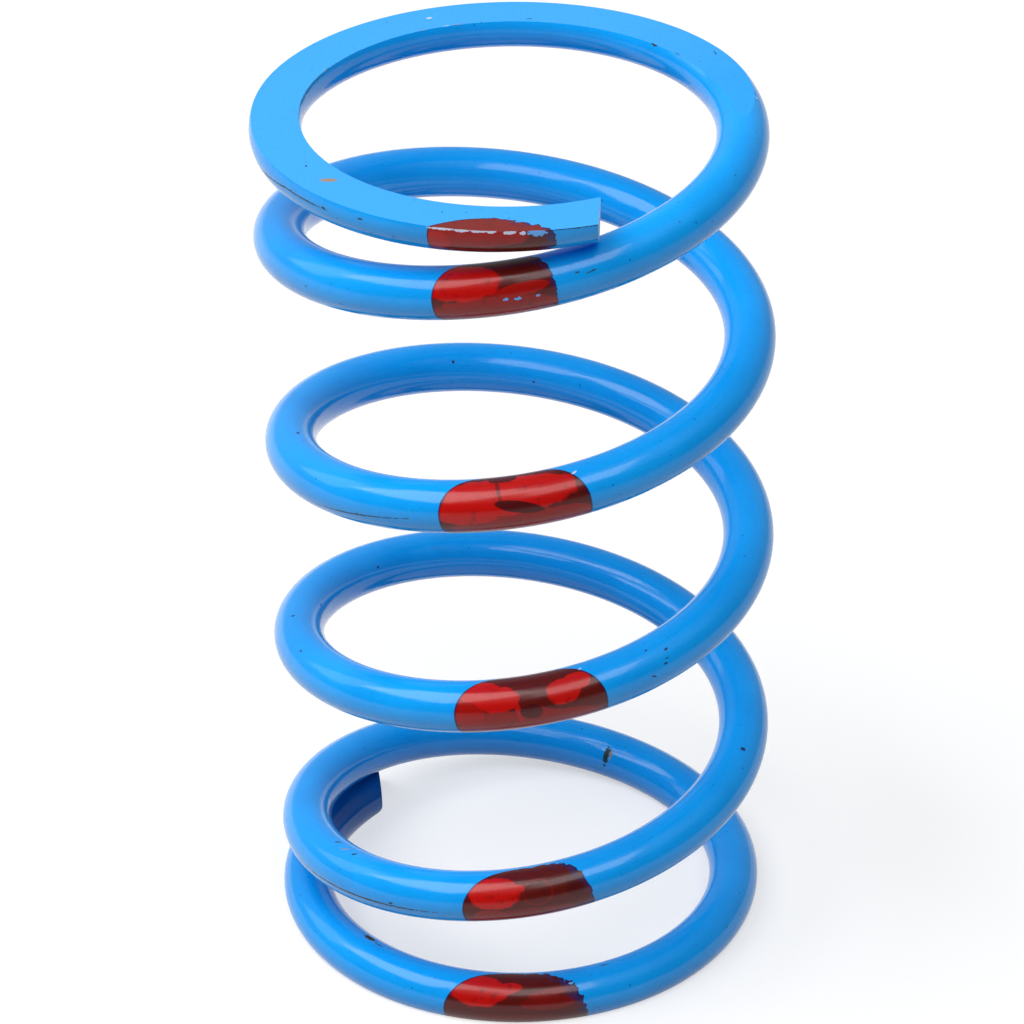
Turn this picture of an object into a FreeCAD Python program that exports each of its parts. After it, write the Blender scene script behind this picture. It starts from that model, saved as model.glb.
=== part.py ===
import FreeCAD, Part
import math
import os

# Heavy compression spring, wound from one length of round steel wire.
# The turns run down clockwise from the top tip, seen from above. Both end turns are closed on
# their neighbours and ground flat, so that the spring stands square between two flat plates.
# Millimetres and degrees. Z is the axis, z = 0 is the ground face that the spring stands on.
# A place along the wire is given in turns, counted from the top tip.

# wire and coil
wire_diameter = 5.8
outside_diameter = 58.0
free_length = 103.4
total_turns = 5.439
top_tip_direction = -69.1      # where the top tip lies, seen from above, from +X
bow = 0.8                      # how far the end turns stand off to -X from the middle turn

# closed ends: wire ground off, how far each tip leans out of its level end turn, space left
# between the tip and the next turn
top_grind = 1.7
bottom_grind = 1.0
top_tip_lift = 0.9
bottom_tip_drop = 0.8
top_tip_gap = 0.57
bottom_tip_gap = 0.44
tip_lean_turns = 0.3           # length of wire over which a tip leans out

# the way from a level end turn to the even pitch
top_ramp_turns = 0.5
bottom_ramp_turns = 0.32

# end turns are wound a little tighter than the body, and the top tip springs back out
top_draw_in = 0.55
bottom_draw_in = 0.45
draw_in_end = 1.25             # turns from each tip to where the draw-in has faded by half
draw_in_turns = 0.3
top_tip_spread = 0.6

# sheared tips
top_cut_skew = 23.0            # the top tip is longer on its inner side
bottom_cut_skew = 35.0         # and the bottom tip on its outer side
bottom_corner_radius = 0.9     # worn corner between the bottom tip and its ground face

# sizes that follow
wire_radius = wire_diameter / 2
coil_radius = outside_diameter / 2 - wire_radius
top_level = free_length - wire_radius + top_grind
bottom_level = wire_radius - bottom_grind
top_closing = wire_diameter + top_tip_gap - top_tip_lift
bottom_closing = wire_diameter + bottom_tip_gap - bottom_tip_drop
pitch = (top_level - bottom_level - top_closing - bottom_closing) / (total_turns - 2)
leaves_top = 1 - top_closing / pitch
meets_bottom = total_turns - 1 + bottom_closing / pitch


def smooth(u):
    """Runs from 0 to 1, level at both ends."""
    u = min(max(u, 0.0), 1.0)
    return u * u * (3 - 2 * u)


def descent(turn, corner, width):
    """Turns of even pitch wound since a corner that is eased over a width."""
    u = min(max((turn - corner) / width + 0.5, 0.0), 1.0)
    return width * (u ** 3 - u ** 4 / 2) + max(turn - corner - width / 2, 0.0)


def tip_fade(turn_from_tip):
    """1 at a tip, falling to 0 where the wire is level."""
    return max(1 - turn_from_tip / tip_lean_turns, 0.0) ** 2


def height(turn):
    """Height of the wire's centre."""
    wound = descent(turn, leaves_top, top_ramp_turns)
    wound -= descent(turn, meets_bottom, bottom_ramp_turns)
    level = top_level - pitch * wound
    return level + top_tip_lift * tip_fade(turn) - bottom_tip_drop * tip_fade(total_turns - turn)


def radius(turn):
    """Radius of the wire's centre about the axis."""
    from_top = (turn - draw_in_end) / draw_in_turns + 0.5
    from_bottom = (total_turns - turn - draw_in_end) / draw_in_turns + 0.5
    drawn = top_draw_in * (1 - smooth(from_top)) + bottom_draw_in * (1 - smooth(from_bottom))
    return coil_radius - drawn + top_tip_spread * tip_fade(turn)


def centre(turn):
    """Point on the wire's centre line."""
    angle = math.radians(top_tip_direction - 360 * turn)
    r, z = radius(turn), height(turn)
    offset = bow * (2 * z / free_length - 1) ** 2
    return FreeCAD.Vector(r * math.cos(angle) - offset, r * math.sin(angle), z)


def direction(turn):
    """Unit vector along the wire, towards the bottom tip."""
    return (centre(turn + 0.001) - centre(turn - 0.001)).normalize()


# wire: the round section is carried along the centre line in four strips, a quarter round each,
# from a little before the top tip to a little past the bottom one
up = FreeCAD.Vector(0, 0, 1)
tip_allowance = wire_diameter / (math.pi * outside_diameter)
stations_per_turn = 12
station_count = math.ceil((total_turns + 2 * tip_allowance) * stations_per_turn)
stations = [-tip_allowance + i * (total_turns + 2 * tip_allowance) / station_count
            for i in range(station_count + 1)]


def line_along(outward, upward):
    """Smooth line along the wire, off its centre by so many wire radii."""
    points = []
    for turn in stations:
        across = up.cross(direction(turn)).normalize()
        over = direction(turn).cross(across)
        points.append(centre(turn) + (across * outward + over * upward) * wire_radius)
    line = Part.BSplineCurve()
    line.interpolate(Points=points, Parameters=stations)
    return line


def strip(first, corner, last):
    """Quarter of the wire's skin, between two lines on it that lie square to each other."""
    lines = [line_along(*place) for place in (first, corner, last)]
    count = lines[0].NbPoles
    weights = [[1.0] * count, [math.sqrt(0.5)] * count, [1.0] * count]
    skin = Part.BSplineSurface()
    skin.buildFromPolesMultsKnots(
        [line.getPoles() for line in lines], [3, 3], lines[0].getMultiplicities(),
        [0.0, 1.0], lines[0].getKnots(), False, False, 2, 3, weights)
    return skin.toShape()


def cap(turn):
    """Flat end of the wire before it is sheared."""
    rim = []
    for edge in (edge for face in skins for edge in face.Edges):
        middle = edge.valueAt(sum(edge.ParameterRange) / 2)
        if abs((middle - centre(turn)).Length - wire_radius) < 0.01:
            rim.append(edge)
    return Part.Face(Part.Wire(Part.__sortEdges__(rim)))


skins = [strip((1, 0), (1, 1), (0, 1)), strip((0, 1), (-1, 1), (-1, 0)),
         strip((-1, 0), (-1, -1), (0, -1)), strip((0, -1), (1, -1), (1, 0))]
shell = Part.Shell(skins + [cap(stations[0]), cap(stations[-1])])
shell.sewShape()
wire = Part.Solid(shell)


def facing(turn, skew):
    """Level direction across a sheared end, turned by its skew from the wire's own."""
    level = direction(turn)
    level.z = 0
    return FreeCAD.Rotation(up, skew).multVec(level.normalize())


def shear(body, turn, skew, gap, side):
    """Cuts a tip off at a skew. Side is 1 where the next turn lies above, -1 below."""
    ahead = facing(turn, skew)
    width = 3 * wire_diameter
    low, high = sorted((side * (wire_radius + gap / 2), -side * wire_diameter))
    blade = Part.makePlane(high - low, width, FreeCAD.Vector(low, -width / 2, 0))
    blade.Placement = FreeCAD.Placement(
        centre(turn), FreeCAD.Rotation(up, ahead.cross(up), ahead, "XZY"))
    pieces, _ = body.generalFuse([blade])
    return max(pieces.Solids, key=lambda piece: piece.Volume)


wire = shear(wire, 0, -top_cut_skew, top_tip_gap, -1)
wire = shear(wire, total_turns, -bottom_cut_skew, bottom_tip_gap, 1)

# ground faces
plate = 2 * outside_diameter
grind = Part.makeBox(plate, plate, wire_diameter, FreeCAD.Vector(-plate / 2, -plate / 2, 0))
wire = wire.cut(grind.translated(FreeCAD.Vector(0, 0, free_length)))
wire = wire.cut(grind.translated(FreeCAD.Vector(0, 0, -wire_diameter)))

# worn corner where the bottom tip's sheared end meets the ground face: what lies outside a round
# bar that touches both is taken off
worn = Part.makeBox(2 * bottom_corner_radius, 2 * wire_diameter, 2 * bottom_corner_radius,
                    FreeCAD.Vector(-bottom_corner_radius, -wire_diameter, -bottom_corner_radius))
bar = Part.makeCylinder(bottom_corner_radius, 3 * wire_diameter,
                        FreeCAD.Vector(-bottom_corner_radius, -1.5 * wire_diameter,
                                       bottom_corner_radius), FreeCAD.Vector(0, 1, 0))
worn = worn.cut(bar)
tip = centre(total_turns)
ahead = facing(total_turns, -bottom_cut_skew)
worn.Placement = FreeCAD.Placement(FreeCAD.Vector(tip.x, tip.y, 0),
                                   FreeCAD.Rotation(ahead, up.cross(ahead), up, "XZY"))
spring = wire.cut(worn).Solids[0]

os.makedirs("parts", exist_ok=True)
spring.exportStep("parts/spring_wire.step")
print("pitch %.2f  volume %.0f  solids %d" % (pitch, spring.Volume, len(spring.Solids)))
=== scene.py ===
import bpy
import math
from functools import lru_cache
from mathutils import Matrix, Vector
from mathutils.interpolate import poly_3d_calc


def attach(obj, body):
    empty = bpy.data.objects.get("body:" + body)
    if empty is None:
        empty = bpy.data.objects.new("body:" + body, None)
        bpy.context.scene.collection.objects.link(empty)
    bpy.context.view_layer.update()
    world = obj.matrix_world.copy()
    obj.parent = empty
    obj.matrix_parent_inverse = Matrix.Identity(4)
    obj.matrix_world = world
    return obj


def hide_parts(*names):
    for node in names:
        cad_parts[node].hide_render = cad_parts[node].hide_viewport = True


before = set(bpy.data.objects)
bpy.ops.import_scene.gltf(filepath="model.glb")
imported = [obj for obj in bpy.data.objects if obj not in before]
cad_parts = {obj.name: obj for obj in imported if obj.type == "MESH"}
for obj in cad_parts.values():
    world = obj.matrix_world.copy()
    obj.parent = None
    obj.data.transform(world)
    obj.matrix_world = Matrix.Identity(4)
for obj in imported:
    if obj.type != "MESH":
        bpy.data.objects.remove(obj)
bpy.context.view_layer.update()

# Camera
# The photograph looks down at the coil from the front, from about half a metre away. Its focal
# length is in pixels of its square frame.
mm = 0.001
photo_size = 1024
focal_length = 4517.252
distance = 519.633 * mm
tilt = math.radians(31.004)
roll = math.radians(-0.914)
target = Vector((-1.103, 0, 52.158)) * mm
back = Vector((0, -math.cos(tilt), math.sin(tilt)))
right = Vector((1, 0, 0))
above = back.cross(right)
axis_x = math.cos(roll) * right + math.sin(roll) * above
axis_y = -math.sin(roll) * right + math.cos(roll) * above
eye = target + distance * back
bpy.ops.object.camera_add()
camera = bpy.context.object
camera.name = "photo_camera"
camera.matrix_world = Matrix.Translation(eye) @ Matrix((axis_x, axis_y, back)).transposed().to_4x4()
camera.data.sensor_width = 36.0
camera.data.lens = focal_length / photo_size * camera.data.sensor_width
camera.data.clip_start, camera.data.clip_end = 0.01, 50.0
bpy.context.scene.camera = camera
bpy.context.scene.view_settings.view_transform = "Standard"

# Spring wire
# One length of round spring steel, coiled on a mandrel, with an end turn closed on its neighbour
# at each end. The tips are sheared, and both ends are ground flat, so the wire thins to a half
# round at its tips. Lengths are in metres, and a place along the wire is in turns from the top tip.
wire_diameter = 5.8 * mm
outside_diameter = 58.0 * mm
free_length = 103.4 * mm
total_turns = 5.439
top_tip_direction = math.radians(-69.1)
bow = 0.8 * mm
top_grind = 1.7 * mm
bottom_grind = 1.0 * mm
top_tip_lift = 0.9 * mm
bottom_tip_drop = 0.8 * mm
top_tip_gap = 0.57 * mm
bottom_tip_gap = 0.44 * mm
tip_lean_turns = 0.3
top_ramp_turns = 0.5
bottom_ramp_turns = 0.32
top_draw_in = 0.55 * mm
bottom_draw_in = 0.45 * mm
draw_in_end = 1.25
draw_in_turns = 0.3
top_tip_spread = 0.6 * mm
top_cut_skew = math.radians(23.0)
bottom_cut_skew = math.radians(35.0)
bottom_corner_radius = 0.9 * mm

wire_radius = wire_diameter / 2
coil_radius = outside_diameter / 2 - wire_radius
top_level = free_length - wire_radius + top_grind
bottom_level = wire_radius - bottom_grind
top_closing = wire_diameter + top_tip_gap - top_tip_lift
bottom_closing = wire_diameter + bottom_tip_gap - bottom_tip_drop
pitch = (top_level - bottom_level - top_closing - bottom_closing) / (total_turns - 2)
leaves_top = 1 - top_closing / pitch
meets_bottom = total_turns - 1 + bottom_closing / pitch


def smooth(u):
    u = min(max(u, 0.0), 1.0)
    return u * u * (3 - 2 * u)


def descent(turn, corner, width):
    """Turns of even pitch wound since a corner that is eased over a width."""
    u = min(max((turn - corner) / width + 0.5, 0.0), 1.0)
    return width * (u**3 - u**4 / 2) + max(turn - corner - width / 2, 0.0)


def tip_fade(turn_from_tip):
    return max(1 - turn_from_tip / tip_lean_turns, 0.0) ** 2


def centre(turn):
    """Point on the wire's centre line."""
    wound = descent(turn, leaves_top, top_ramp_turns) - descent(turn, meets_bottom, bottom_ramp_turns)
    z = top_level - pitch * wound
    z += top_tip_lift * tip_fade(turn) - bottom_tip_drop * tip_fade(total_turns - turn)
    from_top = (turn - draw_in_end) / draw_in_turns + 0.5
    from_bottom = (total_turns - turn - draw_in_end) / draw_in_turns + 0.5
    r = coil_radius - top_draw_in * (1 - smooth(from_top)) - bottom_draw_in * (1 - smooth(from_bottom))
    r += top_tip_spread * tip_fade(turn)
    angle = top_tip_direction - math.tau * turn
    return Vector((r * math.cos(angle) - bow * (2 * z / free_length - 1) ** 2, r * math.sin(angle), z))


def along(turn):
    return (centre(turn + 0.001) - centre(turn - 0.001)).normalized()


@lru_cache(maxsize=None)
def section(turn):
    """Centre of the round section there, its outward direction and its upward one."""
    outward = Vector((0, 0, 1)).cross(along(turn)).normalized()
    return centre(turn), outward, along(turn).cross(outward)


# A flat sheet is wrapped round the wire's route. Its seam runs along the underside of the wire.
rings_per_turn, sides = 160, 48
tip_allowance = 0.035
seam = -90      # degrees round from the outside of the wire
first_turn, last_turn = -tip_allowance, total_turns + tip_allowance
bpy.ops.object.select_all(action="DESELECT")
bpy.ops.mesh.primitive_grid_add(
    x_subdivisions=round((last_turn - first_turn) * rings_per_turn), y_subdivisions=sides, size=1)
wire = bpy.context.object
wire.name = "coiled_wire"
skin_map = wire.data.uv_layers[0]
skin_map.name = "wire_skin"      # millimetres along the wire, and round it from its outside
turn_radius = 26.0              # millimetres, about the radius of the wire's centre line
mm_per_turn = math.tau * turn_radius
mm_round = math.pi * wire_diameter / mm
places = [(first_turn + (v.co.x + 0.5) * (last_turn - first_turn), 360 * (v.co.y + 0.5) + seam)
          for v in wire.data.vertices]
for loop, corner in zip(wire.data.loops, skin_map.data):
    turn, around = places[loop.vertex_index]
    corner.uv = (turn * mm_per_turn, around / 360 * mm_round)
for vertex, (turn, around) in zip(wire.data.vertices, places):
    middle, outward, upward = section(round(turn, 6))
    a = math.radians(around)
    vertex.co = middle + wire_radius * (math.cos(a) * outward + math.sin(a) * upward)

bpy.ops.object.mode_set(mode="EDIT")
bpy.ops.mesh.select_all(action="SELECT")
bpy.ops.mesh.remove_doubles(threshold=0.01 * mm)
bpy.ops.mesh.normals_make_consistent(inside=False)

hair = 0.0005 * mm      # the least gap between two points of the mesh


def press_flat(place, facing, near):
    """Marks the selected faces where a plane crosses them, and presses flat what stands proud."""
    bpy.ops.mesh.bisect(plane_co=place, plane_no=facing, threshold=hair)
    bpy.ops.mesh.select_mode(type="VERT")
    bpy.ops.mesh.select_all(action="DESELECT")
    bpy.ops.object.mode_set(mode="OBJECT")
    for vertex in wire.data.vertices:
        vertex.select = near(vertex.co) and (vertex.co - place) @ facing > 0.02 * hair
    bpy.ops.object.mode_set(mode="EDIT")
    axes = facing.to_track_quat("Z", "Y").to_matrix()
    bpy.ops.transform.resize(value=(1, 1, 0), orient_type="GLOBAL", orient_matrix=axes,
                             orient_matrix_type="GLOBAL", center_override=place)


# both ends are ground
for level, side in ((free_length, 1), (0.0, -1)):
    bpy.ops.mesh.select_all(action="SELECT")
    press_flat(Vector((0, 0, level)), Vector((0, 0, side)), lambda point: True)


def select_faces(chosen):
    bpy.ops.object.mode_set(mode="EDIT")
    bpy.ops.mesh.select_mode(type="FACE")
    bpy.ops.mesh.select_all(action="DESELECT")
    bpy.ops.object.mode_set(mode="OBJECT")
    for face in wire.data.polygons:
        face.select = chosen(face)
    bpy.ops.object.mode_set(mode="EDIT")


def turn_of(face):
    return wire.data.uv_layers["wire_skin"].data[face.loop_start].uv[0] / mm_per_turn


# The tips are sheared at a skew, and the lower corner of the bottom one is pressed round in steps.
tip_length = 0.06      # turns within which a tip is cut
level_only = Vector((1, 1, 0))
top_cut = Matrix.Rotation(-top_cut_skew, 3, "Z") @ (along(0.0) * level_only).normalized()
select_faces(lambda face: turn_of(face) < tip_length)
bpy.ops.mesh.bisect(plane_co=centre(0.0), plane_no=top_cut, use_fill=True, clear_inner=True,
                    threshold=hair)
bottom_cut = Matrix.Rotation(-bottom_cut_skew, 3, "Z") @ (along(total_turns) * level_only).normalized()
tip = centre(total_turns)
corner_axis = Vector((tip.x, tip.y, 0)) - bottom_corner_radius * bottom_cut
corner_axis.z = bottom_corner_radius
select_faces(lambda face: turn_of(face) > total_turns - tip_length)
bpy.ops.mesh.bisect(plane_co=tip, plane_no=bottom_cut, use_fill=True, clear_outer=True,
                    threshold=hair)


def on_bottom_tip(point):
    return (point - tip).length < wire_diameter and point.z < 1.2 * wire_radius


corner_step = 10
for lean in range(corner_step, 90, corner_step):
    a = math.radians(lean)
    facing = math.cos(a) * bottom_cut - math.sin(a) * Vector((0, 0, 1))
    select_faces(lambda face: on_bottom_tip(face.center))
    press_flat(corner_axis + bottom_corner_radius * facing, facing, on_bottom_tip)
bpy.ops.mesh.select_all(action="SELECT")
bpy.ops.mesh.remove_doubles(threshold=hair)
bpy.ops.mesh.normals_make_consistent(inside=False)
bpy.ops.object.mode_set(mode="OBJECT")
crease = math.radians(18)
bpy.ops.object.shade_smooth_by_angle(angle=crease)

# the faces of the two sheared ends, which stay bare
sheared = [face for face in wire.data.polygons
           if (face.center - centre(0.0)).length < wire_diameter and face.normal @ top_cut < -0.99
           or (face.center - tip).length < wire_diameter and face.normal @ bottom_cut > 0.99]

# Blue coat, red lacquer and wear
# The wire is sprayed with one glossy coat of blue enamel over the ground faces too. Six dabs of
# clear red lacquer mark its rate, one on each turn, brushed on by hand. Handling has chipped the
# coat at the edges of the ground face and in a few places along the wire.
coat = bpy.data.materials.new("blue_enamel_with_red_lacquer")
coat.use_nodes = True
nodes, links = coat.node_tree.nodes, coat.node_tree.links
enamel = nodes["Principled BSDF"]


def link_or_set(socket, value):
    if isinstance(value, bpy.types.NodeSocket):
        links.new(value, socket)
    else:
        socket.default_value = value


def number(operation, *values, clamp=False):
    node = nodes.new("ShaderNodeMath")
    node.operation, node.use_clamp = operation, clamp
    for socket, value in zip(node.inputs, values):
        link_or_set(socket, value)
    return node.outputs[0]


def ramp(value, low, high):
    """Runs smoothly from 0 at low to 1 at high."""
    node = nodes.new("ShaderNodeMapRange")
    node.interpolation_type = "SMOOTHSTEP"
    for name, given in zip(("Value", "From Min", "From Max"), (value, low, high)):
        link_or_set(node.inputs[name], given)
    return node.outputs[0]


def paint(under, over, amount):
    """Colour over another one, where amount is 1."""
    node = nodes.new("ShaderNodeMix")
    node.data_type = "RGBA"
    link_or_set(node.inputs["Factor"], amount)
    for name, colour in (("A", under), ("B", over)):
        socket = [s for s in node.inputs if s.name == name and s.type == "RGBA"][0]
        link_or_set(socket, colour if isinstance(colour, bpy.types.NodeSocket) else (*colour, 1))
    return [s for s in node.outputs if s.type == "RGBA"][0]


def speckle(size, detail=2.0, seed=0.0):
    """Noise about 0.5, with grains of that size in millimetres."""
    node = nodes.new("ShaderNodeTexNoise")
    node.noise_dimensions = "4D"
    node.inputs["W"].default_value = seed
    node.inputs["Scale"].default_value = 1 / (size * mm)
    node.inputs["Detail"].default_value = detail
    links.new(coordinates.outputs["Object"], node.inputs["Vector"])
    return node.outputs[0]


coordinates = nodes.new("ShaderNodeTexCoord")
place_on_skin = nodes.new("ShaderNodeUVMap")
place_on_skin.uv_map = "wire_skin"
place_in_space = nodes.new("ShaderNodeSeparateXYZ")
links.new(coordinates.outputs["Object"], place_in_space.inputs[0])


def from_middle(turn, around, half_length, half_width, lean=0.0):
    """Place on the skin seen from the middle of a spot. Around is in degrees up from the outside."""
    node = nodes.new("ShaderNodeMapping")
    node.vector_type = "TEXTURE"
    node.inputs["Location"].default_value = (turn * mm_per_turn, around / 360 * mm_round, 0)
    node.inputs["Rotation"].default_value = (0, 0, math.radians(lean))
    node.inputs["Scale"].default_value = (half_length, half_width, 1)
    links.new(place_on_skin.outputs[0], node.inputs["Vector"])
    return node.outputs[0]


def spot(turn, around, length, width, lean=0.0):
    """1 in the middle of a spot, 0.5 at its outline, and 0 from twice as far out."""
    seen = from_middle(turn, around, length, width, lean)
    node = nodes.new("ShaderNodeTexGradient")
    node.gradient_type = "SPHERICAL"
    links.new(seen, node.inputs["Vector"])
    return node.outputs["Fac"]


# ground faces: pressed-flat skin lies exactly in the two planes, and the paler colour painted on it, a
# painted sheen, fades into the round wire where each face runs out
height = place_in_space.outputs["Z"]
off_the_face, in_the_face = 0.045 * mm, 0.001 * mm
on_top = ramp(height, free_length - off_the_face, free_length - in_the_face)
on_bottom = ramp(height, off_the_face, in_the_face)
unrolled = nodes.new("ShaderNodeSeparateXYZ")
links.new(place_on_skin.outputs[0], unrolled.inputs[0])
length_along = unrolled.outputs[0]
face_ends, face_fades = 0.82, 0.60      # turns from the tip
top_runs_out = ramp(length_along, face_ends * mm_per_turn, face_fades * mm_per_turn)
bottom_runs_out = ramp(length_along, (total_turns - face_ends) * mm_per_turn,
                       (total_turns - face_fades) * mm_per_turn)
top_ground = number("MULTIPLY", on_top, top_runs_out)
bottom_ground = number("MULTIPLY", on_bottom, bottom_runs_out)
ground = number("MAXIMUM", top_ground, bottom_ground)

# blue enamel, a little uneven in depth, with fine specks of dust under it, and painted shade inside the
# bottom tip, under the closed turn above it
cloud = speckle(9.0, 3.0)
grain = speckle(0.22, 2.0, 3.0)
deep_blue, enamel_blue = (0.004, 0.330, 0.88), (0.006, 0.365, 0.94)
painted_sheen_ground_blue, grain_blue = (0.045, 0.400, 0.98), (0.002, 0.220, 0.70)
dust_blue, painted_tip_shade_blue = (0.004, 0.070, 0.22), (0.001, 0.060, 0.28)
blue = paint(deep_blue, enamel_blue, ramp(cloud, 0.3, 0.7))
# painted sheen: the ground faces are painted a paler blue
blue = paint(blue, painted_sheen_ground_blue, number("MULTIPLY", ground, 0.9))
blue = paint(blue, grain_blue, number("MULTIPLY", ramp(grain, 0.50, 0.8), 0.40))
dust = nodes.new("ShaderNodeTexVoronoi")
dust_spacing = 0.9 * mm
dust.inputs["Scale"].default_value = 1 / dust_spacing
links.new(coordinates.outputs["Object"], dust.inputs["Vector"])
dust_kind = nodes.new("ShaderNodeSeparateColor")
links.new(dust.outputs["Color"], dust_kind.inputs[0])
dust_size = number("MULTIPLY", number("POWER", dust_kind.outputs[0], 3), 0.20)
dust_grain = ramp(dust.outputs["Distance"], dust_size, number("MULTIPLY", dust_size, 0.5))
blue = paint(blue, dust_blue, number("MULTIPLY", dust_grain, 0.6))
# painted shade: the blue is darkened inside the bottom tip, under the turn above
painted_tip_shade = ramp(spot(5.405, 128, 30.0, 9.0), 0.30, 0.85)
blue = paint(blue, painted_tip_shade_blue, number("MULTIPLY", painted_tip_shade, 0.85))

# red lacquer: middle in turns, length in mm, middle and reach round the wire in degrees, then how
# ragged and how square its loose end is
ragged_noise = speckle(0.75, 3.0, 7.0)
dabs = [
    (0.0699, 12.3, -8, 100, 0.16, 2),
    (1.0699, 12.3, 5, 117, 0.16, 4),
    (2.0619, 15.2, 5, 122, 0.0, 2),
    (3.0541, 15.6, 5, 122, 0.0, 2),
    (4.0563, 13.6, -10, 114, 0.12, 4),
    (5.0631, 15.6, -11, 122, 0.14, 2.4),
]
lower = 82      # degrees that every dab reaches down from its middle
nowhere = 10.0
lacquer_reach = nowhere
loose_edge = 0.0
for turn, length, around, upper, ragged, square_end in dabs:
    seen = from_middle(turn, around, length / 2, upper / 360 * mm_round)
    split = nodes.new("ShaderNodeSeparateXYZ")
    links.new(seen, split.inputs[0])
    x, y = split.outputs[0], split.outputs[1]
    below = number("MULTIPLY", number("MAXIMUM", number("MULTIPLY", y, -1), 0), upper / lower)
    loose_side = number("POWER", number("MAXIMUM", number("MULTIPLY", x, -1), 0), square_end)
    sideways = number("ADD", number("POWER", number("MAXIMUM", x, 0), 2), loose_side)
    upright = number("ADD", number("POWER", number("MAXIMUM", y, 0), 2), number("POWER", below, 6))
    outline = number("SQRT", number("ADD", sideways, upright))
    if ragged:
        loose = number("MULTIPLY", ramp(x, 0.35, -0.45), ragged)
        tear = number("SUBTRACT", ragged_noise, 0.5)
        outline = number("MULTIPLY_ADD", tear, number("MULTIPLY", loose, 2), outline)
        rim = number("MULTIPLY", ramp(outline, 0.72, 0.98), ramp(outline, 1.3, 1.1))
        loose_edge = number("MAXIMUM", number("MULTIPLY", ramp(x, 0.0, -0.8), rim), loose_edge)
    lacquer_reach = number("MINIMUM", outline, lacquer_reach)
lacquer = ramp(lacquer_reach, 1.0, 0.985)

# where the lacquer is thin it is bright, and where it has run thick it is nearly black; the last five
# bright patches are painted light from the floor below, and one dark patch is painted shade: turn, around,
# length, width, lean, strength
thin_lacquer_and_bounce_places = [
    (0.0800, -2, 10.6, 2.6, 0, 0.55), (0.1010, -16, 2.6, 2.4, 0, 0.8),
    (1.0905, 50, 8.8, 4.6, 6, 1.0), (1.0520, 20, 5.4, 1.4, -4, 0.6),
    (2.0635, 50, 14.2, 4.9, 0, 1.0), (2.0900, 14, 6.6, 3.2, 0, 1.0),
    (3.0861, 66, 4.6, 3.1, 0, 1.0), (3.0741, 44, 4.7, 3.0, 0, 1.0),
    (3.0613, 12, 0.55, 3.6, -9, 0.8), (3.0750, -2, 4.8, 2.1, 0, 0.4),
    (3.0321, 42, 3.5, 3.1, 0, 1.0), (3.0226, 58, 3.1, 2.2, 0, 1.0),
    (3.0930, 16, 3.8, 3.4, 0, 0.6), (3.0420, 4, 3.2, 0.4, 30, 0.4),
    (4.0762, 38, 5.6, 3.9, 0, 1.0), (4.0618, 44, 1.9, 1.1, 0, 1.0), (4.0800, -22, 4.0, 2.2, 0, 0.4),
    (5.0885, 50, 6.4, 3.9, 0, 1.0), (5.0690, 57, 3.6, 1.4, -10, 1.0),
    (5.0400, 46, 5.0, 0.9, -8, 0.3), (5.0420, 22, 6.0, 1.8, 0, 0.2),
    # painted light: these five brighten the lower band of each dab, as if lit from the floor below
    (1.0700, -20, 12.6, 3.4, 0, 0.45), (2.0560, -22, 15.0, 3.2, 0, 0.45),
    (3.0560, -24, 15.0, 3.2, 0, 0.45), (4.0600, -32, 12.0, 2.8, 0, 0.25),
    (5.0650, -34, 14.0, 2.8, 0, 0.15),
]
thick_lacquer_and_shade_places = [
    (2.0680, 93, 3.2, 1.4, 0, 0.8), (2.0703, 62, 0.45, 2.8, -8, 0.5), (2.0585, 18, 5.0, 1.3, 16, 0.9),
    # painted shade: the patch at 1.0400, 96 darkens the top right of the second dab, under the closed top
    # turn
    (2.0160, 40, 2.2, 5.2, 0, 0.5), (3.0536, 9, 2.2, 1.8, 0, 0.8), (1.0400, 96, 5.6, 1.5, 0, 0.6),
    (4.0245, 30, 1.8, 3.2, 0, 0.7), (5.0275, 74, 3.2, 1.3, 0, 0.7), (5.0180, 38, 1.2, 2.0, 0, 0.7),
]
thin_noise = speckle(1.2, 3.0, 11.0)


def patches(places):
    amount = 0.0
    for turn, around, length, width, lean, strength in places:
        wander = number("SUBTRACT", thin_noise, 0.5)
        near = number("MULTIPLY_ADD", wander, -0.20, spot(turn, around, length, width, lean))
        amount = number("MAXIMUM", number("MULTIPLY", ramp(near, 0.475, 0.54), strength), amount)
    return amount


thick_lacquer_and_shade = patches(thick_lacquer_and_shade_places)
thin_lacquer_and_bounce = number("MULTIPLY", patches(thin_lacquer_and_bounce_places), number("SUBTRACT", 1.0, thick_lacquer_and_shade))
bubble = number("ABSOLUTE", number("SUBTRACT", spot(4.0485, 31, 3.0, 3.0), 0.5))
thin_lacquer_and_bounce = number("MAXIMUM", thin_lacquer_and_bounce, number("MULTIPLY", ramp(bubble, 0.05, 0.01), 0.2))
mottle = speckle(1.0, 3.0, 17.0)
lacquer_red, thin_lacquer_and_bounce_red = (0.100, 0.0060, 0.0040), (0.50, 0.0050, 0.0035)
thick_lacquer_and_shade_red, painted_sheen_ground_red, mottled_red = (0.050, 0.004, 0.006), (0.230, 0.018, 0.013), (0.060, 0.004, 0.006)
loose_edge_purple, rim_purple = (0.030, 0.020, 0.110), (0.012, 0.004, 0.050)
red = paint(lacquer_red, thin_lacquer_and_bounce_red, thin_lacquer_and_bounce)
red = paint(red, thick_lacquer_and_shade_red, number("MULTIPLY", thick_lacquer_and_shade, 0.8))
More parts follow.
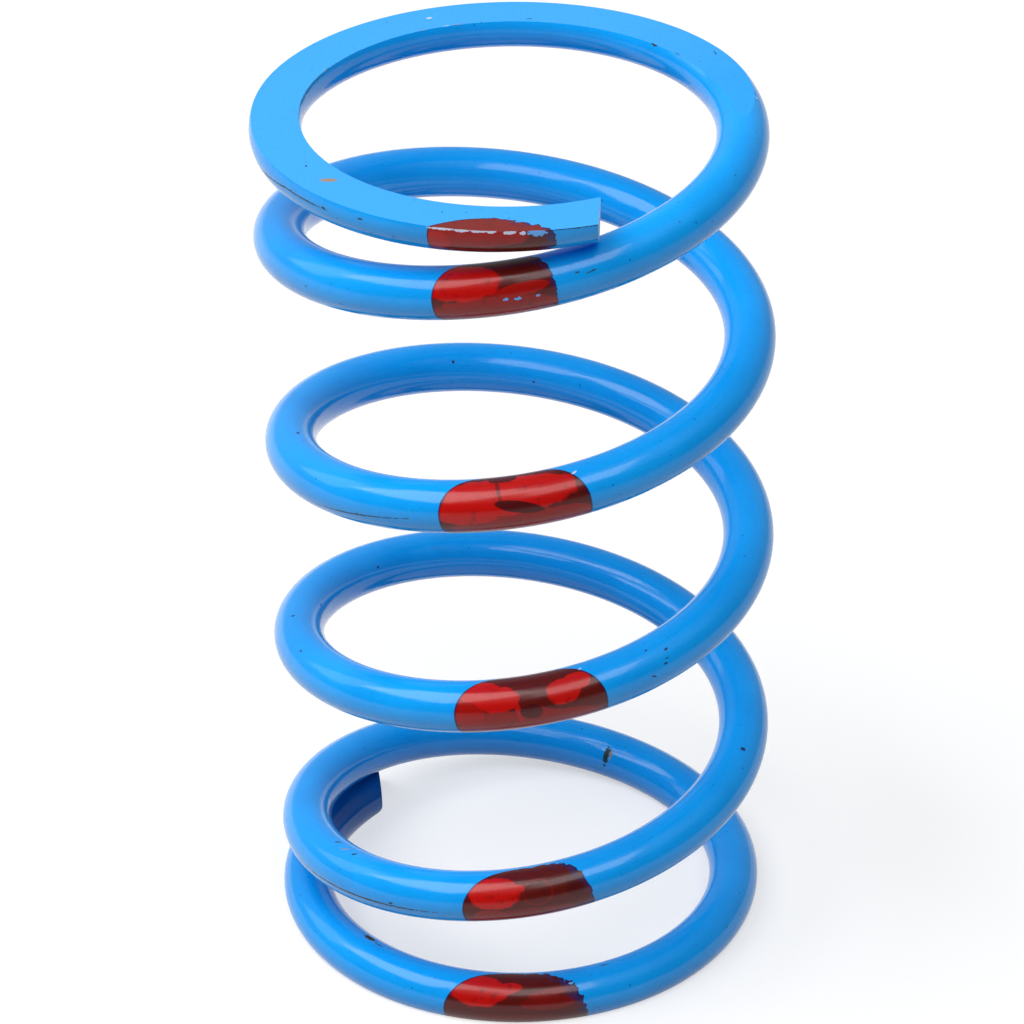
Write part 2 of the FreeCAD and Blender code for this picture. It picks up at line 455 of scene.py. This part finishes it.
# painted sheen: the lacquer on the ground faces is painted a paler red
red = paint(red, painted_sheen_ground_red, number("MULTIPLY", ground, 0.85))
red = paint(red, mottled_red, number("MULTIPLY", ramp(mottle, 0.55, 0.72), 0.45))
red = paint(red, loose_edge_purple, number("MULTIPLY", loose_edge, ramp(mottle, 0.42, 0.60)))
red = paint(red, rim_purple, ramp(lacquer_reach, 0.955, 0.99))
surface = paint(blue, red, lacquer)

# chips and scratches, and a band of painted shade along the inner edge of the top ground face
bpy.context.view_layer.update()
skin_places = wire.data.uv_layers["wire_skin"].data


def seen_at(across, down):
    """Turn and degrees around of the skin that the photograph shows at a pixel."""
    ray = (across - photo_size / 2) * axis_x + (photo_size / 2 - down) * axis_y - focal_length * back
    _, point, _, hit = wire.ray_cast(eye, ray.normalized())
    face = wire.data.polygons[hit]
    shares = poly_3d_calc([wire.data.vertices[i].co for i in face.vertices], point)
    x, y = sum((share * skin_places[i].uv for share, i in zip(shares, face.loop_indices)), Vector((0, 0)))
    return x / mm_per_turn, y / mm_round * 360


# where each mark lies, either as turn and degrees around or by the pixel at which the photograph
# shows it, then its length, width and lean
dark_scale = {
    "line behind the top tip": ((0.0175, 8), 6.0, 0.24, 2),
    "line along the worn edge": ((0.1990, -2), 7.4, 0.20, 1),
    "line round the left of the edge": ((0.2390, -11), 9.0, 0.20, -7),
    "speck under the edge": (seen_at(360, 219), 0.5, 0.2, 0),
    "line inside the ground face": ((0.3340, 156), 4.2, 0.26, 0),
    "nick at the back of the face": (seen_at(529, 18.8), 0.8, 0.25, -20),
    "chip where the face ends": (seen_at(654, 44.5), 0.9, 0.40, 0),
    "long chip past the face": (seen_at(676.7, 53.4), 1.1, 0.20, 0),
    "speck on the left of the face": (seen_at(306, 166), 0.35, 0.3, 0),
    "speck on the inner edge": ((0.3900, 150), 0.4, 0.3, 0),
    "chip above the bottom tip": (seen_at(338, 842), 0.9, 0.32, -55),
    "black chip on the lowest turn": (seen_at(370, 938), 2.0, 0.8, 0),
    "black chip at the back": ((4.6350, 152), 0.8, 2.4, 0),
    "scratch above the bottom tip": ((4.1900, 86), 0.7, 0.3, -50),
    "speck on the fifth turn": (seen_at(390, 903), 0.8, 0.3, 0),
    "scratch beside the second dab": ((1.0100, 24), 1.3, 0.14, -10),
    "speck beside the second dab": ((1.0180, 30), 0.5, 0.16, 0),
    "line under the third turn": ((2.1690, -14), 13.0, 0.16, -5),
    "line under the fifth turn": ((4.1750, -10), 21.0, 0.24, 0),
    "tail of the black chip": (seen_at(379, 945), 1.4, 0.2, 0),
    "speck at the worn edge": (seen_at(323, 208), 0.6, 0.35, 0),
}
worn_coat_and_edge_shade = {
    # painted shade: a long darker band along the inner edge of the top ground face
    "painted shade along the inner edge of the ground face": ((0.3500, 156), 15.0, 0.50, 0),
    "left nick under the edge": (seen_at(371, 233), 0.2, 0.5, 10),
    "right nick under the edge": (seen_at(394, 237), 0.2, 0.5, 10),
    "left speck above the first dab": (seen_at(442, 212), 0.3, 0.25, 0),
    "right speck above the first dab": (seen_at(507, 213), 0.3, 0.25, 0),
    "speck on the right of the top turn": (seen_at(724, 113), 0.3, 0.25, 0),
    "low speck on the second turn": (seen_at(341, 304), 0.4, 0.25, 0),
    "high speck on the second turn": (seen_at(306, 286), 0.4, 0.25, 0),
}
ochre_primer = {
    "chip on the ground face": (seen_at(328, 180), 1.7, 0.8, -50),
    "crack beside it": ((0.1925, 104), 0.9, 0.22, -60),
    "chip on the inner edge": (seen_at(324.8, 70.4), 0.5, 0.3, 0),
    "left dash at the back": ((0.49, 151), 0.7, 0.3, 0),
    "right dash at the back": ((0.5190, 151), 1.2, 0.3, 0),
    "speck on the right of the fourth turn": (seen_at(686, 795), 0.5, 0.4, 0),
    "scratch above the bottom tip": (seen_at(345, 849), 1.0, 0.26, -50),
    "rim of the black chip": ((4.6385, 146), 0.4, 1.2, 0),
}
bare_steel = {
    "first dash along the edge": ((0.0980, 14), 2.6, 0.28, -1),
    "second dash along the edge": ((0.0860, 13), 1.8, 0.34, -1),
    "third dash along the edge": ((0.0765, 12), 1.5, 0.26, 0),
    "fourth dash along the edge": ((0.0690, 12), 1.0, 0.36, 0),
    "fifth dash along the edge": ((0.0585, 10), 1.3, 0.50, 4),
    "sixth dash along the edge": ((0.0507, 8), 0.6, 0.40, 0),
    "fleck at the back of the face": (seen_at(429, 18), 0.6, 0.4, 0),
    "dash between the ochre ones": ((0.51, 151), 0.9, 0.3, 0),
    "fleck on the right of the top turn": (seen_at(757, 98), 0.4, 0.35, 0),
    "chip over the third dab": (seen_at(574, 472.7), 0.6, 0.24, -30),
    "chip over the fourth dab": (seen_at(580, 668.7), 0.5, 0.2, -30),
}
chipped_lacquer = {
    "right end of the first dab": ((0.0425, 6), 1.9, 0.75, 10),
    "first chip in the second dab": (seen_at(505.8, 299.6), 0.5, 0.32, 0),
    "second chip in the second dab": (seen_at(516, 299), 0.35, 0.25, 0),
    "third chip in the second dab": (seen_at(519, 298.5), 0.5, 0.42, 0),
    "fourth chip in the second dab": (seen_at(538, 295.5), 0.45, 0.25, 0),
    "chip in the sixth dab": ((5.0250, 62), 0.8, 0.3, 0),
}
ink_and_dirt = {
    "scratch on the left of the third turn": (seen_at(298, 433), 0.5, 0.35, 0),
    "speck at the back of the third turn": (seen_at(453, 362), 0.4, 0.35, 0),
    "speck inside the third turn": (seen_at(534, 382), 0.4, 0.3, 0),
    "speck on the right of the fourth turn": (seen_at(743, 749), 0.55, 0.75, 0),
    "speck inside the fourth turn": (seen_at(321, 605), 0.5, 0.3, 0),
    "scratch on the left of the fourth turn": (seen_at(293, 616), 0.4, 0.4, 40),
    "speck on the left of the fourth turn": ((3.24, 54), 0.35, 0.3, 0),
    "speck at the back of the fourth turn": (seen_at(378, 567), 0.35, 0.3, 0),
    "first speck beside the fourth dab": (seen_at(645.9, 650.2), 0.4, 0.28, 0),
    "second speck beside the fourth dab": (seen_at(666, 649), 0.4, 0.28, 0),
    "third speck beside the fourth dab": (seen_at(667, 658), 0.5, 0.16, 0),
    "fourth speck beside the fourth dab": (seen_at(666, 663), 0.45, 0.25, 0),
    "hook beside the fourth dab": (seen_at(654.5, 676.3), 0.6, 0.16, 30),
    "right speck over the sixth dab": (seen_at(604, 965), 0.8, 0.2, 0),
    "left speck over the sixth dab": (seen_at(587, 965.5), 0.4, 0.2, 0),
    "scratch at the right of the top turn": (seen_at(715, 52.4), 1.3, 0.14, 20),
}
marks = [
    (dark_scale, (0.014, 0.030, 0.034)), (worn_coat_and_edge_shade, (0.010, 0.200, 0.460)),
    (ochre_primer, (0.36, 0.23, 0.12)), (bare_steel, (0.56, 0.62, 0.78)),
    (chipped_lacquer, (0.130, 0.400, 0.86)), (ink_and_dirt, (0.010, 0.020, 0.140)),
]
chip_noise = speckle(0.30, 3.0, 23.0)
bare = 0.0
for kind, colour in marks:
    nearest = 0.0
    for place, *form in kind.values():
        nearest = number("MAXIMUM", spot(*place, *form), nearest)
    wander = number("SUBTRACT", chip_noise, 0.5)
    chip = ramp(number("MULTIPLY_ADD", wander, -1.1, nearest), 0.48, 0.58)
    surface = paint(surface, colour, chip)
    bare = number("MAXIMUM", chip, bare)
links.new(surface, enamel.inputs["Base Color"])

# the enamel is glossy, the ground faces and the lacquer a little less, and chips are dull
gloss = number("MULTIPLY_ADD", ground, 0.30, number("MULTIPLY_ADD", ramp(cloud, 0.2, 0.8), 0.04, 0.12))
gloss = number("MULTIPLY_ADD", number("MULTIPLY", lacquer, number("SUBTRACT", 1.0, ground)), 0.06, gloss)
gloss = number("MULTIPLY_ADD", bare, 0.35, gloss, clamp=True)
links.new(gloss, enamel.inputs["Roughness"])
enamel.inputs["IOR"].default_value = 1.40

relief = number("MULTIPLY", speckle(3.2, 2.0, 31.0), 0.030)
relief = number("MULTIPLY_ADD", lacquer, 0.02, relief)
bump = nodes.new("ShaderNodeBump")
bump.inputs["Strength"].default_value = 1.0
bump.inputs["Distance"].default_value = 1.0 * mm
links.new(relief, bump.inputs["Height"])
links.new(bump.outputs[0], enamel.inputs["Normal"])
wire.data.materials.append(coat)

# Sheared ends
# The shear leaves a bare grey face at each tip, with fine drag lines down it and a trace of the
# blue coat blown over its edges.
steel = bpy.data.materials.new("bare_sheared_steel")
steel.use_nodes = True
nodes, links = steel.node_tree.nodes, steel.node_tree.links
metal = nodes["Principled BSDF"]
coordinates = nodes.new("ShaderNodeTexCoord")
drag = nodes.new("ShaderNodeTexNoise")
drag.inputs["Scale"].default_value = 1 / (0.5 * mm)
drag.inputs["Detail"].default_value = 4.0
squeeze = nodes.new("ShaderNodeMapping")
squeeze.inputs["Scale"].default_value = (1, 1, 0.2)
links.new(coordinates.outputs["Object"], squeeze.inputs["Vector"])
links.new(squeeze.outputs[0], drag.inputs["Vector"])
face_colour = paint((0.50, 0.53, 0.54), (0.74, 0.77, 0.78), ramp(drag.outputs[0], 0.35, 0.65))
face_colour = paint(face_colour, (0.10, 0.33, 0.62), ramp(speckle(1.1, 3.0, 5.0), 0.58, 0.68))
links.new(face_colour, metal.inputs["Base Color"])
metal.inputs["Metallic"].default_value = 0.35
links.new(number("MULTIPLY_ADD", drag.outputs[0], 0.3, 0.35), metal.inputs["Roughness"])
scored = nodes.new("ShaderNodeBump")
scored.inputs["Distance"].default_value = 0.06 * mm
links.new(drag.outputs[0], scored.inputs["Height"])
links.new(scored.outputs[0], metal.inputs["Normal"])
wire.data.materials.append(steel)
for face in sheared:
    face.material_index = 1

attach(wire, "root")
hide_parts("spring_wire")

# Studio
# A pale paper floor, a large soft box high on the left, a smaller one above the camera, a weak
# one low on the left, and a dim room that is lighter behind the coil than in front of it. The
# paper shows as white to the camera and in reflections, and keeps the coil's soft shadow.
bpy.ops.object.select_all(action="DESELECT")
bpy.ops.mesh.primitive_circle_add(vertices=96, radius=6.0, fill_type="NGON", location=(0, 0, 0))
bpy.ops.object.transform_apply(location=True)
floor = bpy.context.object
floor.name = "studio_floor"
paper = bpy.data.materials.new("white_paper")
paper.use_nodes = True
nodes, links = paper.node_tree.nodes, paper.node_tree.links
sheet = nodes["Principled BSDF"]
sheet.inputs["Roughness"].default_value = 0.9
sheet.inputs["Specular IOR Level"].default_value = 0.0
coordinates = nodes.new("ShaderNodeTexCoord")
place_in_space = nodes.new("ShaderNodeSeparateXYZ")
links.new(coordinates.outputs["Object"], place_in_space.inputs[0])
front = ramp(place_in_space.outputs["Y"], -0.035, -0.30)
links.new(paint((0.47, 0.47, 0.47), (0.50, 0.50, 0.50), front), sheet.inputs["Base Color"])
sheet.inputs["Emission Color"].default_value = (1, 1, 1, 1)
ray = nodes.new("ShaderNodeLightPath")
seen = number("MAXIMUM", ray.outputs["Is Camera Ray"], ray.outputs["Is Glossy Ray"])
seen = number("MAXIMUM", seen, ray.outputs["Is Transmission Ray"])
paper_glow, less_in_front = 0.56, -0.36
glow = number("MULTIPLY_ADD", front, less_in_front, paper_glow)
links.new(number("MULTIPLY", seen, glow), sheet.inputs["Emission Strength"])
floor.data.materials.append(paper)

room = bpy.data.worlds.new("studio_room")
bpy.context.scene.world = room
room.use_nodes = True
nodes, links = room.node_tree.nodes, room.node_tree.links
coordinates = nodes.new("ShaderNodeTexCoord")
place_in_space = nodes.new("ShaderNodeSeparateXYZ")
links.new(coordinates.outputs["Generated"], place_in_space.inputs[0])
behind = place_in_space.outputs["Y"]
wall = paint((0.04, 0.042, 0.045), (0.40, 0.42, 0.44), ramp(behind, -0.35, 0.75))
ceiling = paint((0.62, 0.64, 0.66), (0.18, 0.185, 0.19), ramp(behind, -0.25, 0.35))
wall = paint(wall, ceiling, ramp(place_in_space.outputs["Z"], 0.45, 0.85))
links.new(wall, nodes["Background"].inputs["Color"])


lamp_distance = 1.0
lit_point = Vector((0, 0, 0.05))


def soft_box(name, side, above, width, depth, radiance):
    """Side and above are the degrees round from the front and up at which it stands."""
    side, above = math.radians(side), math.radians(above)
    facing = Vector((math.sin(side) * math.cos(above), -math.cos(side) * math.cos(above), math.sin(above)))
    bpy.ops.object.light_add(type="AREA", location=lit_point + lamp_distance * facing)
    lamp = bpy.context.object
    lamp.name = name
    lamp.data.shape = "RECTANGLE"
    lamp.data.size, lamp.data.size_y = width, depth
    lamp.data.energy = radiance * math.pi * width * depth
    lamp.rotation_mode = "QUATERNION"
    lamp.rotation_quaternion = facing.to_track_quat("Z", "Y")


soft_box("left_soft_box", -76, 57, 0.86, 0.70, 4.1)
soft_box("front_soft_box", 14, 58, 0.62, 0.50, 3.4)
soft_box("low_left_soft_box", -112, 30, 0.45, 0.50, 1.35)
